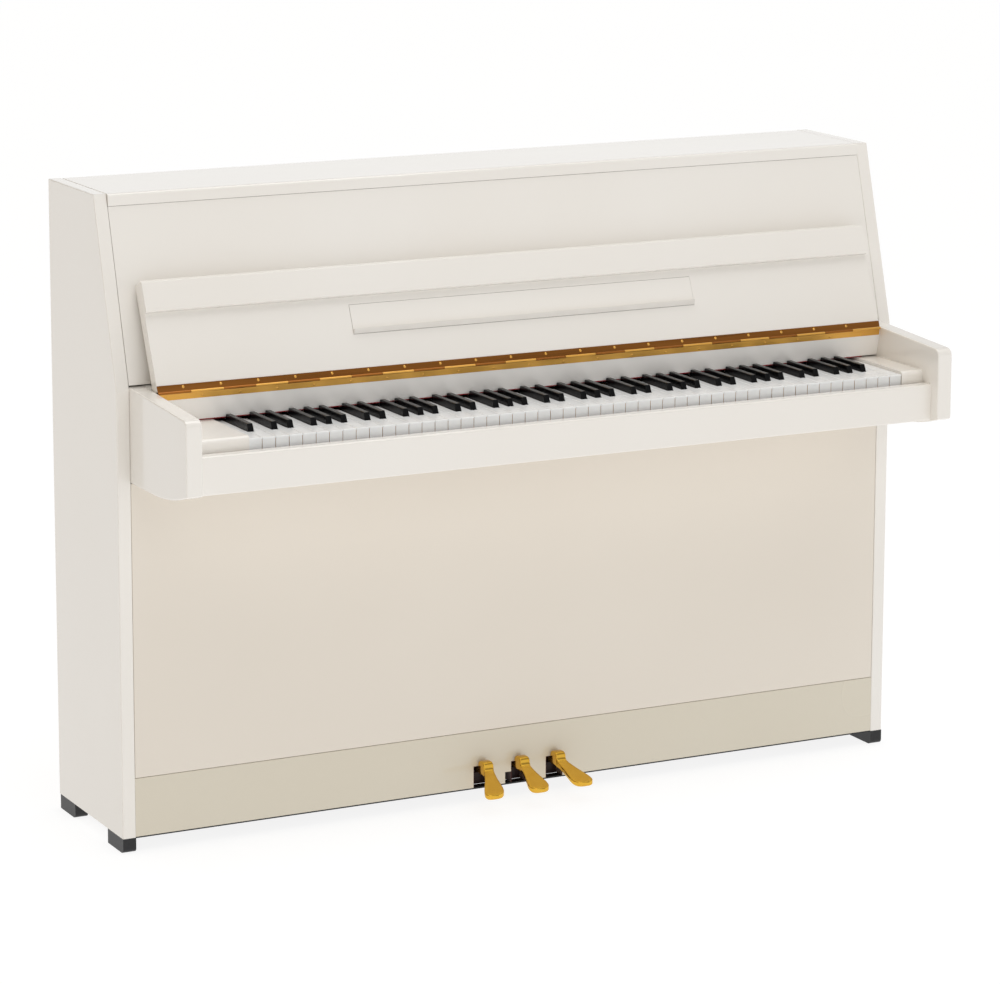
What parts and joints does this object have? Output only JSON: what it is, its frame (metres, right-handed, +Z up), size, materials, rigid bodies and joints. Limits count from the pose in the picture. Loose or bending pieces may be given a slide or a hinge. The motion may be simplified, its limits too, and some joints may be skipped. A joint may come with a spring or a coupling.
{
  "type": "upright piano",
  "caption": "Console upright piano with leaning upper front, folding fallboard with music shelf and lip, lift-up lid, keyboard between arms, pedals with trapwork, and a strung iron-plate back",
  "frame": {"origin": "on the floor under the middle of the bounding box", "axes": "+X to the right seen from the front along the keyboard, +Y from the front to the back, +Z up"},
  "size_m": [1.472, 0.528, 1.086],
  "materials": {
    "case_lacquer": "polished ivory-white lacquer",
    "plain_wood": "plain varnished wood",
    "soundboard_wood": "satin varnished spruce",
    "white_key_top": "glossy white",
    "black_key_top": "glossy black",
    "brass": "polished",
    "gold_iron": "bronze-gold paint",
    "steel": "plain steel",
    "copper_winding": "copper-wound wire",
    "felted_wood": "wood carrying pale felt",
    "black_plastic": "matte black",
    "rubber": "matte rubber"
  },
  "bodies": {
    "case": {"side_panel_left": "case_lacquer", "side_panel_right": "case_lacquer", "arm_left": "case_lacquer", "arm_right": "case_lacquer", "key_bed": "plain_wood", "key_slip": "case_lacquer", "key_block_left": "case_lacquer", "key_block_right": "case_lacquer", "nameboard": "case_lacquer", "upper_panel": "case_lacquer", "lower_panel": "case_lacquer", "toe_rail": "case_lacquer", "bottom_board": "plain_wood", "glides": "black_plastic", "lid_hinge_fixed_leaf": "brass", "fallboard_hinge_fixed_leaf": "brass", "key_frame": "plain_wood", "back_frame": "plain_wood", "soundboard": "soundboard_wood", "soundboard_ribs": "soundboard_wood", "pin_block": "plain_wood", "iron_plate": "gold_iron", "tuning_pins": "steel", "bass_strings": "copper_winding", "plain_strings": "steel", "action_frame": "plain_wood", "wippens": "plain_wood", "trap_brackets": "steel"},
    "lid": {"lid": "case_lacquer", "lid_hinge_moving_leaf": "brass"},
    "fallboard": {"fallboard": "case_lacquer", "fallboard_hinge_moving_leaf": "brass", "fallboard_bumpers": "rubber"},
    "lip": {"fallboard_lip": "case_lacquer"},
    "music_shelf": {"music_shelf": "case_lacquer"},
    "keys_low": {"white_keys_low": "white_key_top", "black_keys_low": "black_key_top"},
    "keys_high": {"white_keys_high": "white_key_top", "black_keys_high": "black_key_top"},
    "hammers": {"hammers": "felted_wood"},
    "hammer_rest_rail": {"hammer_rest_rail": "felted_wood"},
    "dampers": {"dampers": "felted_wood"},
    "muffler_rail": {"muffler_rail": "felted_wood"},
    "key_c": {"key_c": "white_key_top"},
    "key_c_sharp": {"key_c_sharp": "black_key_top"},
    "key_d": {"key_d": "white_key_top"},
    "key_d_sharp": {"key_d_sharp": "black_key_top"},
    "key_e": {"key_e": "white_key_top"},
    "key_f": {"key_f": "white_key_top"},
    "key_f_sharp": {"key_f_sharp": "black_key_top"},
    "key_g": {"key_g": "white_key_top"},
    "pedal_left": {"pedal_left": "brass"},
    "trap_lever_left": {"trap_lever_left": "plain_wood"},
    "pedal_rod_left": {"pedal_rod_left": "plain_wood"},
    "pedal_middle": {"pedal_middle": "brass"},
    "trap_lever_middle": {"trap_lever_middle": "plain_wood"},
    "pedal_rod_middle": {"pedal_rod_middle": "plain_wood"},
    "pedal_right": {"pedal_right": "brass"},
    "trap_lever_right": {"trap_lever_right": "plain_wood"},
    "pedal_rod_right": {"pedal_rod_right": "plain_wood"}
  },
  "joints": [
    {"name": "lid_hinge", "type": "hinge", "parent": "case", "child": "lid", "pos_m": [0, 0.2616, 1.0644], "axis": [-1, 0, 0], "range_deg": [0, 100]},
    {"name": "fallboard_hinge", "type": "hinge", "parent": "case", "child": "fallboard", "pos_m": [0, -0.078, 0.777], "axis": [-1, 0, 0], "range_deg": [-120, 0]},
    {"name": "lip_hinge", "type": "hinge", "parent": "fallboard", "child": "lip", "pos_m": [0, -0.00485, 0.94932], "axis": [-1, 0, 0], "range_deg": [0, 97]},
    {"name": "music_shelf_hinge", "type": "hinge", "parent": "fallboard", "child": "music_shelf", "pos_m": [0, -0.04832, 0.84284], "axis": [1, 0, 0], "range_deg": [0, 90]},
    {"name": "keys_low_balance", "type": "hinge", "parent": "case", "child": "keys_low", "pos_m": [0, -0.009, 0.697], "axis": [1, 0, 0], "range_deg": [0, 2.8], "stiffness_Nm_per_rad": 23.4, "springref_deg": -8.59},
    {"name": "keys_high_balance", "type": "hinge", "parent": "case", "child": "keys_high", "pos_m": [0, -0.009, 0.697], "axis": [1, 0, 0], "range_deg": [0, 2.8], "stiffness_Nm_per_rad": 24.6, "springref_deg": -8.59},
    {"name": "key_c_balance", "type": "hinge", "parent": "case", "child": "key_c", "pos_m": [-0.03373, -0.009, 0.697], "axis": [1, 0, 0], "range_deg": [0, 2.8], "stiffness_Nm_per_rad": 0.6, "springref_deg": -8.59},
    {"name": "key_c_sharp_balance", "type": "hinge", "parent": "case", "child": "key_c_sharp", "pos_m": [-0.01977, -0.009, 0.697], "axis": [1, 0, 0], "range_deg": [0, 2.8], "stiffness_Nm_per_rad": 0.6, "springref_deg": -8.59},
    {"name": "key_d_balance", "type": "hinge", "parent": "case", "child": "key_d", "pos_m": [-0.0058, -0.009, 0.697], "axis": [1, 0, 0], "range_deg": [0, 2.8], "stiffness_Nm_per_rad": 0.6, "springref_deg": -8.59},
    {"name": "key_d_sharp_balance", "type": "hinge", "parent": "case", "child": "key_d_sharp", "pos_m": [0.00817, -0.009, 0.697], "axis": [1, 0, 0], "range_deg": [0, 2.8], "stiffness_Nm_per_rad": 0.6, "springref_deg": -8.59},
    {"name": "key_e_balance", "type": "hinge", "parent": "case", "child": "key_e", "pos_m": [0.02213, -0.009, 0.697], "axis": [1, 0, 0], "range_deg": [0, 2.8], "stiffness_Nm_per_rad": 0.6, "springref_deg": -8.59},
    {"name": "key_f_balance", "type": "hinge", "parent": "case", "child": "key_f", "pos_m": [0.03653, -0.009, 0.697], "axis": [1, 0, 0], "range_deg": [0, 2.8], "stiffness_Nm_per_rad": 0.6, "springref_deg": -8.59},
    {"name": "key_f_sharp_balance", "type": "hinge", "parent": "case", "child": "key_f_sharp", "pos_m": [0.04995, -0.009, 0.697], "axis": [1, 0, 0], "range_deg": [0, 2.8], "stiffness_Nm_per_rad": 0.6, "springref_deg": -8.59},
    {"name": "key_g_balance", "type": "hinge", "parent": "case", "child": "key_g", "pos_m": [0.06338, -0.009, 0.697], "axis": [1, 0, 0], "range_deg": [0, 2.8], "stiffness_Nm_per_rad": 0.6, "springref_deg": -8.59},
    {"name": "pedal_left_pivot", "type": "hinge", "parent": "case", "child": "pedal_left", "pos_m": [-0.0735, 0.021, 0.057], "axis": [1, 0, 0], "range_deg": [0, 6], "stiffness_Nm_per_rad": 8, "springref_deg": -14.32},
    {"name": "pedal_middle_pivot", "type": "hinge", "parent": "case", "child": "pedal_middle", "pos_m": [-0.0035, 0.021, 0.057], "axis": [1, 0, 0], "range_deg": [0, 6], "stiffness_Nm_per_rad": 8, "springref_deg": -14.32},
    {"name": "pedal_right_pivot", "type": "hinge", "parent": "case", "child": "pedal_right", "pos_m": [0.0665, 0.021, 0.057], "axis": [1, 0, 0], "range_deg": [0, 6], "stiffness_Nm_per_rad": 8, "springref_deg": -14.32},
    {"name": "trap_lever_left_pivot", "type": "hinge", "parent": "case", "child": "trap_lever_left", "pos_m": [0.33, 0.047, 0.079], "axis": [0, 1, 0], "range_deg": [0, 0.42]},
    {"name": "pedal_rod_left_slide", "type": "slide", "parent": "case", "child": "pedal_rod_left", "axis": [0, 0, 1], "range_m": [0, 0.0062]},
    {"name": "hammer_rest_rail_pivot", "type": "hinge", "parent": "case", "child": "hammer_rest_rail", "pos_m": [0, 0.096, 0.79], "axis": [-1, 0, 0], "range_deg": [0, 6.6]},
    {"name": "hammers_pivot", "type": "hinge", "parent": "case", "child": "hammers", "pos_m": [0, 0.128, 0.815], "axis": [-1, 0, 0], "range_deg": [0, 7.9]},
    {"name": "trap_lever_right_pivot", "type": "hinge", "parent": "case", "child": "trap_lever_right", "pos_m": [-0.33, 0.066, 0.079], "axis": [0, -1, 0], "range_deg": [0, 0.71]},
    {"name": "pedal_rod_right_slide", "type": "slide", "parent": "case", "child": "pedal_rod_right", "axis": [0, 0, -1], "range_m": [0, 0.0036]},
    {"name": "dampers_pivot", "type": "hinge", "parent": "case", "child": "dampers", "pos_m": [0, 0.146, 0.79], "axis": [1, 0, 0], "range_deg": [0, 2.6]},
    {"name": "trap_lever_middle_pivot", "type": "hinge", "parent": "case", "child": "trap_lever_middle", "pos_m": [-0.105, 0.085, 0.112], "axis": [0, -1, 0], "range_deg": [0, 3.9]},
    {"name": "pedal_rod_middle_slide", "type": "slide", "parent": "case", "child": "pedal_rod_middle", "axis": [0, 0, -1], "range_m": [0, 0.0368]},
    {"name": "muffler_rail_slide", "type": "slide", "parent": "case", "child": "muffler_rail", "axis": [0, 0, -1], "range_m": [0, 0.0368]}
  ],
  "couplings": [
    {"joint": "trap_lever_left_pivot", "follows": "pedal_left_pivot", "ratio": 0.06795},
    {"joint": "pedal_rod_left_slide", "follows": "pedal_left_pivot", "m_per_rad": 0.058251},
    {"joint": "hammer_rest_rail_pivot", "follows": "pedal_left_pivot", "ratio": 1.0833},
    {"joint": "hammers_pivot", "follows": "pedal_left_pivot", "ratio": 1.3},
    {"joint": "trap_lever_right_pivot", "follows": "pedal_right_pivot", "ratio": 0.11648},
    {"joint": "pedal_rod_right_slide", "follows": "pedal_right_pivot", "m_per_rad": 0.033776},
    {"joint": "dampers_pivot", "follows": "pedal_right_pivot", "ratio": 0.42233},
    {"joint": "trap_lever_middle_pivot", "follows": "pedal_middle_pivot", "ratio": 0.63883},
    {"joint": "pedal_rod_middle_slide", "follows": "pedal_middle_pivot", "m_per_rad": 0.34759},
    {"joint": "muffler_rail_slide", "follows": "pedal_middle_pivot", "m_per_rad": 0.34759}
  ]
}
